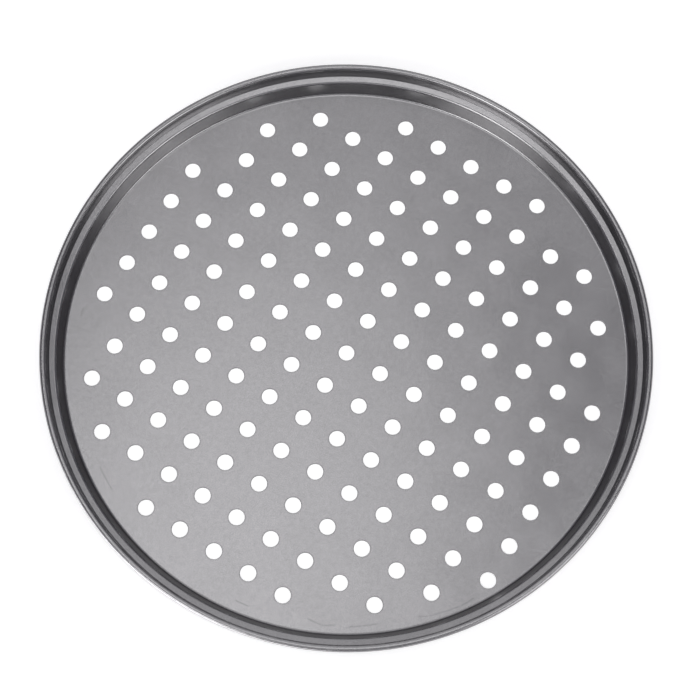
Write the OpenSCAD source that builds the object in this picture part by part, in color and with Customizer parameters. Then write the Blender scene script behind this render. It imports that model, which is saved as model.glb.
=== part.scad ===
// Round perforated crisper tray: one pressed steel sheet whose edge is rolled over a wire.
// The origin is the centre of the underside, +Z is up, and X and Y run along the rows of holes.

/* [Sheet] */
// Thickness of the coated steel sheet
sheet_t = 0.5; // [0.3:0.05:0.8]
// Radius of the bend from floor to wall, on the middle of the sheet
foot_bend_r = 1.8; // [1:0.1:2.4]
// Radius of the bend from wall to ledge, on the middle of the sheet
ledge_bend_r = 1.6; // [1:0.1:2.2]
// Radius of the bend from ledge to riser, on the middle of the sheet
riser_bend_r = 0.65; // [0.5:0.05:1]

/* [Floor] */
// Diameter of the floor, out to the corner where the wall meets it
floor_d = 284; // [240:1:320]
// Diameter of the punched holes
hole_d = 8; // [4:0.1:12]
// Distance between rows of holes, the same along both rows
hole_pitch = 20; // [14:0.5:30]
// Width of the border, from the wall's corner in to the centre of the nearest hole of the pattern
border_w = 12; // [10:0.5:40]
// Row of the single hole that lies outside the round pattern, counted from the middle
odd_hole_row = -3; // [-6:1:6]
// Column of the single hole that lies outside the round pattern, counted from the middle
odd_hole_column = 6; // [-6:1:6]

/* [Wall] */
// Height of the ledge's inner corner above the floor
ledge_h = 7.85; // [6:0.05:14]
// Lean of the wall between floor and ledge, in degrees from upright
wall_lean = 21; // [5:1:35]
// Width of the ledge, from corner to corner
ledge_w = 3.35; // [3:0.05:8]
// Rise of the ledge from its inner to its outer corner
ledge_rise = 0.7; // [0:0.1:1.2]
// Height of the rim's top above the ledge's outer corner
rim_h = 7.25; // [6.5:0.05:14]
// Lean of the riser between ledge and rim, in degrees from upright
riser_lean = 6; // [2:1:30]

/* [Rim] */
// Diameter of the wire inside the rolled rim
wire_d = 2.4; // [1.5:0.1:3]
// How far the edge is rolled round the wire, in degrees
curl_turn = 292; // [240:1:300]
// Gap between the wire and the sheet rolled round it
wire_clearance = 0.05; // [0.03:0.01:0.1]

/* [Hidden] */

coat_grey = [0.55, 0.55, 0.56];
wire_grey = [0.72, 0.72, 0.74];
arc_step = 12;
overrun = 1;
$fn = 96;

// Middle of the sheet in section, as [radius, height]: the corners before the bends are rounded
floor_z = sheet_t / 2;
foot_corner = [floor_d / 2, floor_z];
ledge_in_corner = foot_corner + [ledge_h * tan(wall_lean), ledge_h];
ledge_out_corner = ledge_in_corner + [ledge_w, ledge_rise];

// The rolled rim: the riser runs up into an arc round the wire's centre
riser_heading = 90 - riser_lean;
curl_r = wire_d / 2 + wire_clearance + sheet_t / 2;
wire_rise = rim_h - curl_r;
wire_run = wire_rise / tan(riser_heading) + curl_r / sin(riser_heading);
wire_centre = ledge_out_corner + [wire_run, wire_rise];
curl_start = along(wire_centre, curl_r, riser_heading + 90);
corners = [[0, floor_z], foot_corner, ledge_in_corner, ledge_out_corner, curl_start];
bend_radii = [foot_bend_r, ledge_bend_r, riser_bend_r];

// The pattern of holes keeps the border clear, and the odd hole keeps clear of the foot's bend
pattern_r = floor_d / 2 - border_w;
flat_r = floor_d / 2 - foot_bend_r * tan((90 - wall_lean) / 2);
last_row = floor(pattern_r / hole_pitch);
rows = [-last_row : last_row];
odd_hole = [odd_hole_column, odd_hole_row] * hole_pitch;

function along(point, distance, angle) = point + distance * [cos(angle), sin(angle)];

function heading(from, to) = atan2(to[1] - from[1], to[0] - from[0]);

function arc(centre, radius, start, end) =
    let (steps = ceil(abs(end - start) / arc_step))
    [for (i = [0 : steps]) along(centre, radius, start + (end - start) * i / steps)];

// The bend at one corner, seen on the face that lies `side` to the left of the middle of the sheet
function bend(i, side) =
    let (
        radius = bend_radii[i - 1],
        first = heading(corners[i - 1], corners[i]),
        last = heading(corners[i], corners[i + 1]),
        left = sign(last - first),
        centre = along(corners[i], radius / cos((last - first) / 2), (first + last) / 2 + 90 * left)
    )
    arc(centre, radius - left * side, first - 90 * left, last - 90 * left);

// One face of the sheet, from the middle of the floor to the end of the rolled edge
function face(side) = concat(
    [corners[0] + [0, side]],
    [for (i = [1 : len(bend_radii)]) each bend(i, side)],
    arc(wire_centre, curl_r + side, riser_heading + 90, riser_heading + 90 - curl_turn)
);

function backwards(points) = [for (i = [len(points) - 1 : -1 : 0]) points[i]];

module hole(place) {
    translate([place[0], place[1], -overrun])
        cylinder(d = hole_d, h = sheet_t + 2 * overrun);
}

module holes() {
    for (column = rows, row = rows)
        if (norm([column, row]) * hole_pitch <= pattern_r)
            hole([column, row] * hole_pitch);
    if (norm(odd_hole) > pattern_r && norm(odd_hole) + hole_d / 2 < flat_r)
        hole(odd_hole);
}

module pan() {
    color(coat_grey)
        difference() {
            rotate_extrude()
                polygon(concat(face(floor_z), backwards(face(-floor_z))));
            holes();
        }
}

module rim_wire() {
    color(wire_grey)
        rotate_extrude()
            translate(wire_centre)
                circle(d = wire_d);
}

pan();
rim_wire();
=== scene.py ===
"""A round perforated crisper plate of coated steel, seen from high above on a white floor."""

import math

import bpy
from mathutils import Matrix, Vector, geometry


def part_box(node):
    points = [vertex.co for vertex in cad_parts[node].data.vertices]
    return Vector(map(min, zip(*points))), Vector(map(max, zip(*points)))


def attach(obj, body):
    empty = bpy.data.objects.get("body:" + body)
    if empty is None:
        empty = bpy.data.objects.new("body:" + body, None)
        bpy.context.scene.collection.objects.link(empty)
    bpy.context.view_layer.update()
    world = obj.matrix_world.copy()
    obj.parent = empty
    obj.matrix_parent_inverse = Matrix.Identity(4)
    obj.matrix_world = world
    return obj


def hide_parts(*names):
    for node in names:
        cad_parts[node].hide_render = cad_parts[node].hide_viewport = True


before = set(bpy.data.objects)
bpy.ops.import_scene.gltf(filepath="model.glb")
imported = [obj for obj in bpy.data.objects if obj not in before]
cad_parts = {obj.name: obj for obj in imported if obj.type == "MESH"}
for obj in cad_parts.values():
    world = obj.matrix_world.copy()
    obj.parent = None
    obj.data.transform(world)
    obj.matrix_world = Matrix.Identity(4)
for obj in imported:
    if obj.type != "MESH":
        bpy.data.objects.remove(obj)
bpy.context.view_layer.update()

# Lengths are in metres and angles in radians, where nothing else is said
MM = 0.001
HALF_PI = math.pi / 2
FULL_TURN = 2 * math.pi

# The sheet in section, as the CAD part has it: the radii are on the middle of the sheet
SHEET_T = 0.5 * MM
FLOOR_R = 142 * MM
LEDGE_H = 7.85 * MM
WALL_LEAN = math.radians(21)
LEDGE_W = 3.35 * MM
LEDGE_RISE = 0.7 * MM
BEND_RADII = (1.8 * MM, 1.6 * MM, 0.65 * MM)
WIRE_R = 1.2 * MM
WIRE_CLEARANCE = 0.05 * MM
CURL_R = WIRE_R + WIRE_CLEARANCE + SHEET_T / 2
CURL_TURN = math.radians(292)

# The holes, in rows along X and Y, and the single hole outside their round pattern, by column and row
HOLE_R = 4 * MM
HOLE_PITCH = 20 * MM
BORDER_W = 12 * MM
PATTERN_R = FLOOR_R - BORDER_W
ODD_HOLE = (6, -3)

# A punched edge is rounded above and below, and the wear of its coating fades out a little beyond
TOP_ROLL = 0.2 * MM
UNDER_ROLL = 0.1 * MM
LIP_FADE = 0.5 * MM

# How finely the meshes are divided
AROUND = 360
WIRE_AROUND = 24
HOLE_AROUND = 36
BEND_STEPS = 14
CURL_STEPS = 44
ROLL_STEPS = 4
EDGE_STEPS = 8

# Flat faces are filled only inside their outlines, and points as near as this count as one
FILL_INSIDE = 1
FILL_NEAR = 1e-9

# The finishes' patterns: width of the spots, levels of detail and, for one, how strong the finer levels are
GRAIN = (0.5 * MM, 2)
MOTTLE = (2.5 * MM, 4, 0.85)
CLOUDS = (25 * MM, 3)
WAVES = (60 * MM, 1)
RUB_PATCHES = (20 * MM, 2)
WIRE_LINES = (0.3 * MM, 3)

# The range of a pattern's values that is spread out. Values beyond it count as its ends.
NOISE_LOW = 0.3
NOISE_HIGH = 0.7

# The coat's colour and its tint where it is seen edge-on, and the share of the colour that each pattern, kind
# of wear or painted shade adds or takes away
COAT_COLOUR = (0.3445, 0.34, 0.3455)
COAT_EDGE_ON_TINT = (0.76, 0.76, 0.76, 1)
GRAIN_SHADE = 0.075
MOTTLE_SHADE = 0.047
CLOUD_SHADE = 0.042
EDGE_SHADE = -0.16
# The next share is painted shade along shallow creases near the floor's border
CREASE_SHADE = -0.17
RUB_SHADE = 0.03

# The coat's roughness, and what each adds to it
COAT_ROUGHNESS = 0.25
CLOUD_ROUGHNESS = 0.01
DRAWN_ROUGHNESS = 0.06
EDGE_ROUGHNESS = 0.05
RUB_ROUGHNESS = 0.03

# Depth of the grain, and of the slow waves in the sheet
GRAIN_DEPTH = 0.003 * MM
WAVE_DEPTH = 0.06 * MM

# The wall's roughening sets in between two heights above the plate's underside, and fades out below the ledge
DRAWN_FROM = 1 * MM
DRAWN_FULL = 2.5 * MM
DRAWN_FADE = 1 * MM

# The rubbed patches reach this far below the rim's crest. They begin where their pattern is at RUB_FROM, and
# are full where it is at RUB_FULL.
RUB_REACH = 0.8 * MM
RUB_FROM = 0.4
RUB_FULL = 0.65

# Painted shade along shallow creases in the sheet near the floor's border, drawn as faint dark lines: azimuth
# in degrees and radius in mm, at each end
CREASE_SHADE_LINES = (
    ((202.4, 135.1), (204.8, 135.5)),
    ((238.2, 135.2), (244.4, 135.2)),
    ((279.0, 136.2), (282.6, 136.5)),
    ((294.4, 135.1), (297.7, 137.8)),
    ((297.3, 137.8), (300.6, 137.2)),
    ((302.5, 138.0), (309.4, 137.3)),
    ((317.0, 137.2), (319.2, 138.5)),
    ((318.8, 138.4), (326.2, 139.2)),
    ((325.8, 139.2), (329.4, 138.4)),
)

# Half the width of a line of painted crease shade, the part of its length over which it is solid, and the
# depth below the floor's upper face at which it ends
CREASE_SHADE_HALF_W = 0.7 * MM
CREASE_SHADE_SOLID_PART = 0.7
CREASE_SHADE_DEPTH = 0.05 * MM

# The wire's colour, and the middle and swing of its shade and of its roughness. LINE_SQUEEZE is how much the
# pattern's place changes along the wire, as a part of the way, so that the spots grow into long lines.
WIRE_COLOUR = (0.6, 0.6, 0.62)
WIRE_SHADE = (0.975, 0.075)
WIRE_ROUGHNESS = (0.35, 0.07)
LINE_DEPTH = 0.01 * MM
LINE_SQUEEZE = 0.02

# The camera looks at AIM from high above. Here and below, azimuths are counted from +X towards +Y. The lens
# and the sensor are in mm.
AIM = Vector((0.656 * MM, 2.238 * MM, SHEET_T))
CAMERA_AZIMUTH = math.radians(-59.94)
CAMERA_ELEVATION = math.radians(73.075)
CAMERA_ROLL = math.radians(2.6)
CAMERA_DISTANCE = 952.4 * MM
LENS = 97.3
SENSOR = 36

# Round lamps about the plate: azimuth and angle from straight up, half width and half height as seen from the
# plate, all in degrees, and brightness, where 1 shows as white in a mirror
LAMPS = {
    "key_left": (262, 56, 13, 14, 3.4),
    "key_right": (356, 58, 20, 12, 2.8),
    "low_left": (260, 84, 15, 6, 1.2),
    "fill_left": (279, 52, 46, 11, 0.6),
    "fill_back": (122, 48, 24, 29, 0.53),
    "top_front": (313, 11, 14, 16, 1.15),
    "top_back": (138, 12.5, 9, 8, 1.48),
    "top_left": (190, 28, 9, 4, 2.4),
    "top_side": (213, 19, 6, 12, 1.6),
    "top_right": (60, 30, 18, 7, 1.05),
    "top_gap": (44, 16, 4, 7, 2.2),
}
LAMP_DISTANCE = 12

# A bright card lies beside the plate and faces up. Its middle is CARD_DISTANCE from the plate's, its depth is
# measured outwards, and its brightness is like a lamp's.
CARD_AZIMUTH = math.radians(264)
CARD_DISTANCE = 0.31
CARD_DEPTH = 0.26
CARD_WIDTH = 0.28
CARD_BRIGHTNESS = 4.8

# The room's own even light
ROOM = 0.17
ROOM_TINT = (1.03, 1.0, 1.13, 1)

# The floor lies just below the plate. Its glow, to the camera and in reflections, lifts it to white.
FLOOR_COLOUR = (0.8, 0.8, 0.8, 1)
FLOOR_ROUGHNESS = 0.9
FLOOR_GLOW = 0.55
FLOOR_HALF = 40
FLOOR_DROP = 0.1 * MM
WHITE = (1, 1, 1, 1)


def along(point, distance, angle):
    """The point at a distance from another, in the direction of the angle."""
    return (point[0] + distance * math.cos(angle), point[1] + distance * math.sin(angle))


def arc(centre, radius, start, end, steps):
    """Points along an arc, both ends included."""
    return [along(centre, radius, start + (end - start) * i / steps) for i in range(steps + 1)]


def heading(a, b):
    """Angle of the line from a to b."""
    return math.atan2(b[1] - a[1], b[0] - a[0])


def direction(azimuth, elevation):
    """Unit vector that points that way."""
    level = math.cos(elevation)
    return Vector((level * math.cos(azimuth), level * math.sin(azimuth), math.sin(elevation)))


def rim_centre():
    """Centre of the rolled rim in section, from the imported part's own box."""
    low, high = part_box("pan")
    outer = min(-low.x, high.x, -low.y, high.y)
    return (outer - CURL_R - SHEET_T / 2, high.z - CURL_R - SHEET_T / 2)


def step_corners():
    """Corners of the sheet's middle line before they are rounded: foot, ledge inside and ledge outside."""
    foot = (FLOOR_R, SHEET_T / 2)
    ledge_in = (foot[0] + LEDGE_H * math.tan(WALL_LEAN), foot[1] + LEDGE_H)
    return [foot, ledge_in, (ledge_in[0] + LEDGE_W, ledge_in[1] + LEDGE_RISE)]


def curl_start(centre):
    """Angle round the rim's centre at which the riser runs into the rolled edge."""
    ledge_out = step_corners()[-1]
    lean_in = math.asin(CURL_R / math.dist(ledge_out, centre))
    return heading(ledge_out, centre) + lean_in + HALF_PI


def bend(before, corner, after, radius, side):
    """The rounded corner on one face of the sheet; side is its signed distance from the middle line."""
    first, last = heading(before, corner), heading(corner, after)
    left = math.copysign(1, last - first)
    centre = along(corner, radius / math.cos((last - first) / 2), (first + last) / 2 + left * HALF_PI)
    quarter = left * HALF_PI
    facing = math.copysign(HALF_PI, side)
    points = arc(centre, radius - left * side, first - quarter, last - quarter, BEND_STEPS)
    turns = [first + (last - first) * i / BEND_STEPS for i in range(BEND_STEPS + 1)]
    return [(r, z, turn + facing) for (r, z), turn in zip(points, turns)]


def curl(centre, side):
    """One face of the edge that is rolled round the wire."""
    start = curl_start(centre)
    angles = [start - CURL_TURN * i / CURL_STEPS for i in range(CURL_STEPS + 1)]
    outward = 0 if side > 0 else math.pi
    return [(*along(centre, CURL_R + side, a), a + outward) for a in angles]


def sheet_edge(centre):
    """The rounded end of the sheet, under the rim."""
    end = curl_start(centre) - CURL_TURN
    middle = along(centre, CURL_R, end)
    angles = [end - math.pi * i / EDGE_STEPS for i in range(1, EDGE_STEPS)]
    return [(*along(middle, SHEET_T / 2, a), a) for a in angles]


def face(side):
    """One face of the sheet beyond the flat floor, out to the end of the rolled edge."""
    centre = rim_centre()
    corners = [(0, SHEET_T / 2), *step_corners(), along(centre, CURL_R, curl_start(centre))]
    points = []
    for i, radius in enumerate(BEND_RADII, 1):
        points += bend(corners[i - 1], corners[i], corners[i + 1], radius, side)
    return points + curl(centre, side)


def hole_places():
    """Centres of all the holes: the square grid inside the border, and the odd hole."""
    reach = int(PATTERN_R / HOLE_PITCH)
    cells = [(i, j) for i in range(-reach, reach + 1) for j in range(-reach, reach + 1)]
    inside = [c for c in cells if math.hypot(*c) * HOLE_PITCH <= PATTERN_R]
    return [(i * HOLE_PITCH, j * HOLE_PITCH) for i, j in inside + [ODD_HOLE]]


def hole_lips():
    """A punched edge, top to underside: distance beyond the hole's wall, height, normal's tilt and wear."""
    steps = [HALF_PI * i / ROLL_STEPS for i in range(ROLL_STEPS + 1)]
    top = [
        (TOP_ROLL * (1 - math.sin(s)), SHEET_T - TOP_ROLL * (1 - math.cos(s)), HALF_PI + s, 1)
        for s in steps
    ]
    under = [
        (UNDER_ROLL * (1 - math.cos(s)), UNDER_ROLL * (1 - math.sin(s)), math.pi + s, 1)
        for s in steps
    ]
    flat_top = (TOP_ROLL + LIP_FADE, SHEET_T, HALF_PI, 0)
    flat_under = (UNDER_ROLL + LIP_FADE, 0, -HALF_PI, 0)
    return [flat_top, *top, *under, flat_under]


def ring(radius, z, tilt, count, centre=(0, 0)):
    """Points of a level circle, each with its normal, which is tilted up from the outward direction."""
    points = []
    for i in range(count):
        x, y = math.cos(FULL_TURN * i / count), math.sin(FULL_TURN * i / count)
        place = (centre[0] + radius * x, centre[1] + radius * y, z)
        points.append((place, (math.cos(tilt) * x, math.cos(tilt) * y, math.sin(tilt))))
    return points


class Shape:
    """Vertices, with their normals and wear, and faces of a mesh under construction."""

    def __init__(self):
        self.verts, self.normals, self.faces, self.worn = [], [], [], []

    def add(self, points, worn=0):
        """Takes points with their normals, and gives their numbers in the mesh."""
        first = len(self.verts)
        self.worn += [worn] * len(points)
        self.verts += [place for place, normal in points]
        self.normals += [normal for place, normal in points]
        return list(range(first, len(self.verts)))

    def bridge(self, a, b):
        """Quads between two rings of the same count. They face up where b is the wider ring."""
        for i in range(len(a)):
            k = (i + 1) % len(a)
            self.faces.append((a[i], b[i], b[k], a[k]))

    def fill(self, outer, holes, up):
        """Triangles of a flat face between one ring outside and round holes inside it."""
        loops = [outer] + holes
        ids = [v for loop in loops for v in loop]
        loop_of = [n for n, loop in enumerate(loops) for v in loop]
        edges, first = [], 0
        for loop in loops:
            edges += [(first + i, first + (i + 1) % len(loop)) for i in range(len(loop))]
            first += len(loop)
        flat = [Vector(self.verts[v][:2]) for v in ids]
        filled = geometry.delaunay_2d_cdt(flat, edges, [], FILL_INSIDE, FILL_NEAR)
        triangles, sources = filled[2], filled[3]
        for triangle in triangles:
            corners = [sources[v][0] for v in triangle]
            owners = {loop_of[c] for c in corners}
            # A triangle whose corners all lie on one hole is inside it
            in_a_hole = len(owners) == 1 and 0 not in owners
            if not in_a_hole:
                self.add_triangle([ids[c] for c in corners], up)

    def add_triangle(self, corners, up):
        """One triangle that faces up or down as asked, whatever the order of its corners."""
        a, b, c = corners
        edge_ab = Vector(self.verts[b]) - Vector(self.verts[a])
        edge_ac = Vector(self.verts[c]) - Vector(self.verts[a])
        rising = edge_ab.cross(edge_ac).z > 0
        self.faces.append((a, b, c) if rising == up else (c, b, a))

    def piece(self, name):
        """The finished object, smooth by its own normals, with its wear as an attribute for the material."""
        mesh = bpy.data.meshes.new(name)
        mesh.from_pydata(self.verts, [], self.faces)
        mesh.attributes.new("worn", "FLOAT", "POINT").data.foreach_set("value", self.worn)
        mesh.shade_smooth()
        mesh.normals_split_custom_set_from_vertices(self.normals)
        piece = bpy.data.objects.new(name, mesh)
        bpy.context.scene.collection.objects.link(piece)
        return piece


def build_hole(shape, place):
    """The wall and rounded edges of one hole. Gives its rings, from the top face to the underside."""
    lip = [
        shape.add(ring(HOLE_R + beyond, z, tilt, HOLE_AROUND, place), worn)
        for beyond, z, tilt, worn in hole_lips()
    ]
    for a, b in zip(lip, lip[1:]):
        shape.bridge(b, a)
    return lip


def build_pan():
    """The pressed sheet: its section turned round the axis, and the floor's two faces with their holes."""
    shape = Shape()
    section = face(SHEET_T / 2) + sheet_edge(rim_centre()) + face(-SHEET_T / 2)[::-1]
    rings = [shape.add(ring(r, z, tilt, AROUND)) for r, z, tilt in section]
    for a, b in zip(rings, rings[1:]):
        shape.bridge(a, b)
    lips = [build_hole(shape, place) for place in hole_places()]
    shape.fill(rings[0], [lip[0] for lip in lips], up=True)
    shape.fill(rings[-1], [lip[-1] for lip in lips], up=False)
    return shape.piece("pan_sheet")


def build_wire():
    """The ring of wire inside the rolled rim."""
    centre = rim_centre()
    shape = Shape()
    turns = [-FULL_TURN * i / WIRE_AROUND for i in range(WIRE_AROUND)]
    rings = [shape.add(ring(*along(centre, WIRE_R, turn), turn, AROUND)) for turn in turns]
    for a, b in zip(rings, rings[1:] + rings[:1]):
        shape.bridge(a, b)
    return shape.piece("wire_ring")


class Nodes:
    """The nodes of one new material."""

    def __init__(self, name):
        self.material = bpy.data.materials.new(name)
        self.material.use_nodes = True
        self.tree = self.material.node_tree
        self.shader = self.tree.nodes["Principled BSDF"]

    def set(self, node, inputs):
        """Links or sets each of a node's inputs, by name or number."""
        for name, value in inputs.items():
            if isinstance(value, bpy.types.NodeSocket):
                self.tree.links.new(value, node.inputs[name])
            else:
                node.inputs[name].default_value = value

    def add(self, kind, inputs, **settings):
        """A new node's outputs."""
        node = self.tree.nodes.new("ShaderNode" + kind)
        for name, value in settings.items():
            setattr(node, name, value)
        self.set(node, inputs)
        return node.outputs

    def math(self, operation, a, b):
        """The result of an operation on two values."""
        return self.add("Math", {0: a, 1: b}, operation=operation)["Value"]

    def place(self):
        """The point's place on the object, in metres."""
        return self.add("TexCoord", {})["Object"]

    def polar(self, place):
        """A place's distance from the plate's axis, its azimuth from 0 to a full turn, and its height."""
        split = self.add("SeparateXYZ", {"Vector": place})
        flat = self.add("CombineXYZ", {"X": split["X"], "Y": split["Y"]})["Vector"]
        radius = self.add("VectorMath", {0: flat}, operation="LENGTH")["Value"]
        turn = self.math("FLOORED_MODULO", self.math("ARCTAN2", split["Y"], split["X"]), FULL_TURN)
        return radius, turn, split["Z"]

    def noise(self, place, spot, detail, roughness=0.5):
        """Noise round 0.5 whose spots are about as wide as spot."""
        inputs = {"Vector": place, "Scale": 1 / spot, "Detail": detail, "Roughness": roughness}
        return self.add("TexNoise", inputs)["Fac"]

    def remap(self, value, start, end, low, high, shape="SMOOTHSTEP"):
        """Low where the value is at start, high where it is at end, and between them in between."""
        ends = {"Value": value, "From Min": start, "From Max": end, "To Min": low, "To Max": high}
        return self.add("MapRange", ends, interpolation_type=shape)["Result"]

    def swing(self, noise, middle, amount):
        """Noise spread out by the amount to either side of the middle."""
        return self.remap(noise, NOISE_LOW, NOISE_HIGH, middle - amount, middle + amount)

    def away(self, value, middle):
        """How far a value is from the middle, on either side."""
        return self.math("ABSOLUTE", self.math("SUBTRACT", value, middle), 0)

    def total(self, first, *others):
        """The sum of all the values."""
        for other in others:
            first = self.math("ADD", first, other)
        return first

    def scale(self, colour, factor):
        """A colour, lighter or darker by the factor."""
        return self.add("VectorMath", {0: colour, "Scale": factor}, operation="SCALE")["Vector"]


def painted_crease_shade(nodes, radius, turn, start, end):
    """1 on the painted shade of one shallow crease near the floor's border, and 0 round it."""
    first, last = math.radians(start[0]), math.radians(end[0])
    line = nodes.remap(turn, first, last, start[1] * MM, end[1] * MM, "LINEAR")
    half = (last - first) / 2
    across = nodes.remap(nodes.away(radius, line), 0, CREASE_SHADE_HALF_W, 1, 0)
    lengthwise = nodes.remap(nodes.away(turn, first + half), CREASE_SHADE_SOLID_PART * half, half, 1, 0)
    return nodes.math("MULTIPLY", across, lengthwise)


def painted_crease_shades(nodes, radius, turn, height):
    """The painted shade of all the shallow creases near the floor's border."""
    crease_shades = [painted_crease_shade(nodes, radius, turn, *ends) for ends in CREASE_SHADE_LINES]
    most = crease_shades[0]
    for mark in crease_shades[1:]:
        most = nodes.math("MAXIMUM", most, mark)
    upper_face = nodes.remap(height, SHEET_T - CREASE_SHADE_DEPTH, SHEET_T, 0, 1)
    return nodes.math("MULTIPLY", most, upper_face)


def rim_rubs(nodes, place, height):
    """Patches on the crest of the rolled rim where hands and shelves have rubbed the coating."""
    top = rim_centre()[1] + CURL_R + SHEET_T / 2
    crest = nodes.remap(height, top - RUB_REACH, top, 0, 1)
    patches = nodes.remap(nodes.noise(place, *RUB_PATCHES), RUB_FROM, RUB_FULL, 0, 1)
    return nodes.math("MULTIPLY", crest, patches)


def drawn_wall(nodes, height):
    """1 on the sloped wall, where drawing the sheet has roughened the coating a little."""
    above_foot = nodes.remap(height, DRAWN_FROM, DRAWN_FULL, 0, 1)
    below_ledge = nodes.remap(height, LEDGE_H - DRAWN_FADE, LEDGE_H, 1, 0)
    return nodes.math("MULTIPLY", above_foot, below_ledge)


def coat_material():
    """Satin coating with a fine metallic grain, a little darker on punched edges, rubbed on the rim, and with
    painted shade along shallow creases near the floor's border.
    """
    nodes = Nodes("satin_grey_coat")
    place = nodes.place()
    radius, turn, height = nodes.polar(place)
    grain = nodes.noise(place, *GRAIN)
    mottle = nodes.noise(place, *MOTTLE)
    clouds = nodes.noise(place, *CLOUDS)
    waves = nodes.noise(place, *WAVES)
    edge = nodes.add("Attribute", {}, attribute_name="worn")["Fac"]
    drawn = drawn_wall(nodes, height)
    # Painted shade along shallow creases near the floor's border
    crease_shades = painted_crease_shades(nodes, radius, turn, height)
    rubs = rim_rubs(nodes, place, height)
    shade = nodes.total(
        nodes.swing(grain, 1, GRAIN_SHADE),
        nodes.swing(mottle, 0, MOTTLE_SHADE),
        nodes.swing(clouds, 0, CLOUD_SHADE),
        nodes.math("MULTIPLY", edge, EDGE_SHADE),
        nodes.math("MULTIPLY", crease_shades, CREASE_SHADE),
        nodes.math("MULTIPLY", rubs, RUB_SHADE),
    )
    rough = nodes.total(
        nodes.swing(clouds, COAT_ROUGHNESS, CLOUD_ROUGHNESS),
        nodes.math("MULTIPLY", drawn, DRAWN_ROUGHNESS),
        nodes.math("MULTIPLY", edge, EDGE_ROUGHNESS),
        nodes.math("MULTIPLY", rubs, RUB_ROUGHNESS),
    )
    relief = nodes.total(
        nodes.math("MULTIPLY", waves, WAVE_DEPTH),
        nodes.math("MULTIPLY", grain, GRAIN_DEPTH),
    )
    nodes.set(nodes.shader, {
        "Base Color": nodes.scale(COAT_COLOUR, shade),
        "Metallic": 1,
        "Specular Tint": COAT_EDGE_ON_TINT,
        "Roughness": rough,
        "Normal": nodes.add("Bump", {"Height": relief, "Distance": 1})["Normal"],
    })
    return nodes.material


def wire_material():
    """Bare drawn steel, with lines that run along the wire."""
    nodes = Nodes("drawn_steel")
    radius, turn, height = nodes.polar(nodes.place())
    squeezed = nodes.math("MULTIPLY", turn, LINE_SQUEEZE * FLOOR_R)
    place = nodes.add("CombineXYZ", {"X": radius, "Y": squeezed, "Z": height})["Vector"]
    lines = nodes.noise(place, *WIRE_LINES)
    nodes.set(nodes.shader, {
        "Base Color": nodes.scale(WIRE_COLOUR, nodes.swing(lines, *WIRE_SHADE)),
        "Metallic": 1,
        "Roughness": nodes.swing(lines, *WIRE_ROUGHNESS),
        "Normal": nodes.add("Bump", {"Height": lines, "Distance": LINE_DEPTH})["Normal"],
    })
    return nodes.material


def floor_material():
    """Pale floor that takes the shadow, with a glow that the camera and shiny or clear surfaces see."""
    nodes = Nodes("white_floor")
    path = nodes.add("LightPath", {})
    seen = path["Is Camera Ray"]
    for name in ("Is Glossy Ray", "Is Transmission Ray"):
        seen = nodes.math("MAXIMUM", seen, path[name])
    nodes.set(nodes.shader, {
        "Base Color": FLOOR_COLOUR,
        "Roughness": FLOOR_ROUGHNESS,
        "Specular IOR Level": 0,
        "Emission Color": WHITE,
        "Emission Strength": nodes.math("MULTIPLY", seen, FLOOR_GLOW),
    })
    return nodes.material


def build_floor():
    """The flat white floor under the plate."""
    shape = Shape()
    half = FLOOR_HALF
    spots = [(-half, -half, 0), (half, -half, 0), (half, half, 0), (-half, half, 0)]
    corners = shape.add([(spot, (0, 0, 1)) for spot in spots])
    shape.faces.append(tuple(corners))
    floor = shape.piece("floor")
    floor.location.z = -FLOOR_DROP
    floor.data.materials.append(floor_material())


def build_camera():
    """The camera at the photograph's viewing angle."""
    camera = bpy.data.objects.new("camera", bpy.data.cameras.new("camera"))
    bpy.context.scene.collection.objects.link(camera)
    camera.data.lens = LENS
    camera.data.sensor_width = SENSOR
    back = direction(CAMERA_AZIMUTH, CAMERA_ELEVATION)
    turn = (-back).to_track_quat("-Z", "Y").to_matrix() @ Matrix.Rotation(CAMERA_ROLL, 3, "Z")
    camera.matrix_world = Matrix.Translation(AIM + back * CAMERA_DISTANCE) @ turn.to_4x4()
    bpy.context.scene.camera = camera


def area_lamp(name, outline, width, height, area, brightness):
    """An even lamp that the camera doesn't see. It shines down until it is turned."""
    light = bpy.data.lights.new(name, "AREA")
    light.shape = outline
    light.size = width
    light.size_y = height
    light.energy = brightness * math.pi * area
    lamp = bpy.data.objects.new(name, light)
    lamp.visible_camera = False
    bpy.context.scene.collection.objects.link(lamp)
    return lamp


def build_lamp(name, azimuth, tilt, half_width, half_height, brightness):
    """A round lamp far off that faces the plate."""
    away = direction(math.radians(azimuth), HALF_PI - math.radians(tilt))
    width = 2 * LAMP_DISTANCE * math.tan(math.radians(half_width))
    height = 2 * LAMP_DISTANCE * math.tan(math.radians(half_height))
    lamp = area_lamp(name, "ELLIPSE", width, height, math.pi * width * height / 4, brightness)
    lamp.location = away * LAMP_DISTANCE
    lamp.rotation_euler = away.to_track_quat("Z", "Y").to_euler()


def build_card():
    """A card that throws light on the outside of the rim, as a bright table does."""
    area = CARD_DEPTH * CARD_WIDTH
    card = area_lamp("card", "RECTANGLE", CARD_DEPTH, CARD_WIDTH, area, CARD_BRIGHTNESS)
    card.location = direction(CARD_AZIMUTH, 0) * CARD_DISTANCE
    card.rotation_euler = (math.pi, 0, CARD_AZIMUTH)


def build_world():
    """The even, dim light of the room."""
    world = bpy.data.worlds.new("studio")
    bpy.context.scene.world = world
    world.use_nodes = True
    background = world.node_tree.nodes["Background"]
    background.inputs["Color"].default_value = ROOM_TINT
    background.inputs["Strength"].default_value = ROOM


build_camera()
build_world()
build_floor()
for name, values in LAMPS.items():
    build_lamp(name, *values)
build_card()
bpy.context.scene.view_settings.view_transform = "Standard"

for piece, node, slot, material in (
    (build_pan(), "pan", "coated_sheet", coat_material()),
    (build_wire(), "rim_wire", "bare_wire", wire_material()),
):
    piece.data.materials.append(material)
    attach(piece, "root")
    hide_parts(node)
